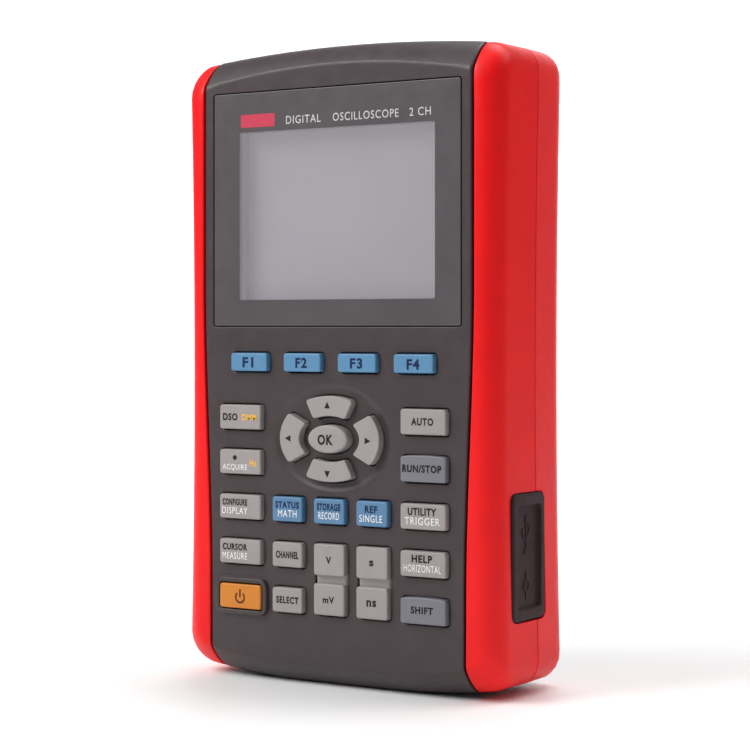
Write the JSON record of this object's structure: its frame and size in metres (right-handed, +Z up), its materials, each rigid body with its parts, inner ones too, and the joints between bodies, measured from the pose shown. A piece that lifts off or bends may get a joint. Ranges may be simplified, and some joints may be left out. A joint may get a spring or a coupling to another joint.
{
  "type": "handheld oscilloscope",
  "caption": "Handheld battery oscilloscope with a screen, pressable keypad, soft side grips, tilt stand, side port cover and top signal sockets.",
  "frame": {"origin": "centre of the bounding box's underside, on the flat that the instrument stands on", "axes": "+Z up along the height, the screen and keys face -Y, +X to the viewer's right"},
  "size_m": [0.118, 0.049, 0.199],
  "materials": {
    "shell_grey": "fine satin texture",
    "grip_red": "soft-touch satin",
    "key_grey": "satin silicone",
    "key_blue": "satin silicone",
    "key_slate": "satin silicone",
    "key_orange": "satin silicone",
    "lens": "glossy window with a printed border",
    "screen": "satin polariser",
    "steel": "plated sheet and screws",
    "nickel": "bright nickel plate",
    "board": "solder mask",
    "black_plastic": "moulded",
    "red_plastic": "moulded",
    "silicone": "matte",
    "battery_wrap": "shrink wrap",
    "black_rubber": "matte"
  },
  "bodies": {
    "case": {"front_housing": "shell_grey", "rear_housing": "shell_grey", "connector_panel": "shell_grey", "battery_door": "shell_grey", "front_grip_left": "grip_red", "front_grip_right": "grip_red", "rear_grip_left": "grip_red", "rear_grip_right": "grip_red", "display_window": "lens", "lcd_module": "screen", "lcd_frame": "steel", "shield_can": "steel", "stand_hinge_pin": "steel", "door_screw_left": "steel", "door_screw_right": "steel", "case_screw_lower_left": "steel", "case_screw_lower_right": "steel", "case_screw_upper_left": "steel", "case_screw_upper_right": "steel", "main_board": "board", "port_board": "board", "beeper": "black_plastic", "dc_jack": "black_plastic", "jack_com": "black_plastic", "jack_volts": "red_plastic", "jack_amps": "red_plastic", "keypad_mat": "silicone", "battery_pack": "battery_wrap", "usb_socket": "nickel", "bnc_socket_1": "nickel", "bnc_socket_2": "nickel"},
    "key_f1": {"key_f1": "key_blue"},
    "key_f2": {"key_f2": "key_blue"},
    "key_f3": {"key_f3": "key_blue"},
    "key_f4": {"key_f4": "key_blue"},
    "key_mode": {"key_mode": "key_grey"},
    "key_acquire": {"key_acquire": "key_grey"},
    "key_display": {"key_display": "key_grey"},
    "key_measure": {"key_measure": "key_grey"},
    "key_power": {"key_power": "key_orange"},
    "key_auto": {"key_auto": "key_grey"},
    "key_run_stop": {"key_run_stop": "key_slate"},
    "key_trigger": {"key_trigger": "key_grey"},
    "key_horizontal": {"key_horizontal": "key_grey"},
    "key_shift": {"key_shift": "key_slate"},
    "key_math": {"key_math": "key_blue"},
    "key_record": {"key_record": "key_blue"},
    "key_single": {"key_single": "key_blue"},
    "key_channel": {"key_channel": "key_grey"},
    "key_select": {"key_select": "key_grey"},
    "key_up": {"key_up": "key_grey"},
    "key_down": {"key_down": "key_grey"},
    "key_left": {"key_left": "key_grey"},
    "key_right": {"key_right": "key_grey"},
    "key_ok": {"key_ok": "key_grey"},
    "rocker_volts": {"rocker_volts": "key_grey"},
    "rocker_time": {"rocker_time": "key_grey"},
    "stand": {"tilt_stand": "shell_grey"},
    "cover": {"port_cover": "black_rubber"}
  },
  "joints": [
    {"name": "key_f1_press", "type": "slide", "parent": "case", "child": "key_f1", "axis": [0, 1, 0], "range_m": [0, 0.001], "stiffness_N_per_m": 800, "springref_m": -0.0005},
    {"name": "key_f2_press", "type": "slide", "parent": "case", "child": "key_f2", "axis": [0, 1, 0], "range_m": [0, 0.001], "stiffness_N_per_m": 800, "springref_m": -0.0005},
    {"name": "key_f3_press", "type": "slide", "parent": "case", "child": "key_f3", "axis": [0, 1, 0], "range_m": [0, 0.001], "stiffness_N_per_m": 800, "springref_m": -0.0005},
    {"name": "key_f4_press", "type": "slide", "parent": "case", "child": "key_f4", "axis": [0, 1, 0], "range_m": [0, 0.001], "stiffness_N_per_m": 800, "springref_m": -0.0005},
    {"name": "key_mode_press", "type": "slide", "parent": "case", "child": "key_mode", "axis": [0, 1, 0], "range_m": [0, 0.001], "stiffness_N_per_m": 800, "springref_m": -0.0005},
    {"name": "key_acquire_press", "type": "slide", "parent": "case", "child": "key_acquire", "axis": [0, 1, 0], "range_m": [0, 0.001], "stiffness_N_per_m": 800, "springref_m": -0.0005},
    {"name": "key_display_press", "type": "slide", "parent": "case", "child": "key_display", "axis": [0, 1, 0], "range_m": [0, 0.001], "stiffness_N_per_m": 800, "springref_m": -0.0005},
    {"name": "key_measure_press", "type": "slide", "parent": "case", "child": "key_measure", "axis": [0, 1, 0], "range_m": [0, 0.001], "stiffness_N_per_m": 800, "springref_m": -0.0005},
    {"name": "key_power_press", "type": "slide", "parent": "case", "child": "key_power", "axis": [0, 1, 0], "range_m": [0, 0.001], "stiffness_N_per_m": 800, "springref_m": -0.0005},
    {"name": "key_auto_press", "type": "slide", "parent": "case", "child": "key_auto", "axis": [0, 1, 0], "range_m": [0, 0.001], "stiffness_N_per_m": 800, "springref_m": -0.0005},
    {"name": "key_run_stop_press", "type": "slide", "parent": "case", "child": "key_run_stop", "axis": [0, 1, 0], "range_m": [0, 0.001], "stiffness_N_per_m": 800, "springref_m": -0.0005},
    {"name": "key_trigger_press", "type": "slide", "parent": "case", "child": "key_trigger", "axis": [0, 1, 0], "range_m": [0, 0.001], "stiffness_N_per_m": 800, "springref_m": -0.0005},
    {"name": "key_horizontal_press", "type": "slide", "parent": "case", "child": "key_horizontal", "axis": [0, 1, 0], "range_m": [0, 0.001], "stiffness_N_per_m": 800, "springref_m": -0.0005},
    {"name": "key_shift_press", "type": "slide", "parent": "case", "child": "key_shift", "axis": [0, 1, 0], "range_m": [0, 0.001], "stiffness_N_per_m": 800, "springref_m": -0.0005},
    {"name": "key_math_press", "type": "slide", "parent": "case", "child": "key_math", "axis": [0, 1, 0], "range_m": [0, 0.001], "stiffness_N_per_m": 800, "springref_m": -0.0005},
    {"name": "key_record_press", "type": "slide", "parent": "case", "child": "key_record", "axis": [0, 1, 0], "range_m": [0, 0.001], "stiffness_N_per_m": 800, "springref_m": -0.0005},
    {"name": "key_single_press", "type": "slide", "parent": "case", "child": "key_single", "axis": [0, 1, 0], "range_m": [0, 0.001], "stiffness_N_per_m": 800, "springref_m": -0.0005},
    {"name": "key_channel_press", "type": "slide", "parent": "case", "child": "key_channel", "axis": [0, 1, 0], "range_m": [0, 0.001], "stiffness_N_per_m": 800, "springref_m": -0.0005},
    {"name": "key_select_press", "type": "slide", "parent": "case", "child": "key_select", "axis": [0, 1, 0], "range_m": [0, 0.001], "stiffness_N_per_m": 800, "springref_m": -0.0005},
    {"name": "key_up_press", "type": "slide", "parent": "case", "child": "key_up", "axis": [0, 1, 0], "range_m": [0, 0.001], "stiffness_N_per_m": 800, "springref_m": -0.0005},
    {"name": "key_down_press", "type": "slide", "parent": "case", "child": "key_down", "axis": [0, 1, 0], "range_m": [0, 0.001], "stiffness_N_per_m": 800, "springref_m": -0.0005},
    {"name": "key_left_press", "type": "slide", "parent": "case", "child": "key_left", "axis": [0, 1, 0], "range_m": [0, 0.001], "stiffness_N_per_m": 800, "springref_m": -0.0005},
    {"name": "key_right_press", "type": "slide", "parent": "case", "child": "key_right", "axis": [0, 1, 0], "range_m": [0, 0.001], "stiffness_N_per_m": 800, "springref_m": -0.0005},
    {"name": "key_ok_press", "type": "slide", "parent": "case", "child": "key_ok", "axis": [0, 1, 0], "range_m": [0, 0.001], "stiffness_N_per_m": 800, "springref_m": -0.0005},
    {"name": "rocker_volts_tilt", "type": "hinge", "parent": "case", "child": "rocker_volts", "pos_m": [-0.0004, -0.0185, 0.0336], "axis": [1, 0, 0], "range_deg": [-4, 4], "stiffness_Nm_per_rad": 0.1},
    {"name": "rocker_time_tilt", "type": "hinge", "parent": "case", "child": "rocker_time", "pos_m": [0.0152, -0.0185, 0.0336], "axis": [1, 0, 0], "range_deg": [-4, 4], "stiffness_Nm_per_rad": 0.1},
    {"name": "stand_hinge", "type": "hinge", "parent": "case", "child": "stand", "pos_m": [0, 0.02265, 0.128], "axis": [1, 0, 0], "range_deg": [0, 60]},
    {"name": "cover_hinge", "type": "hinge", "parent": "case", "child": "cover", "pos_m": [0.0585, 0.0074, 0.0424], "axis": [0, 0, 1], "range_deg": [0, 100]}
  ]
}
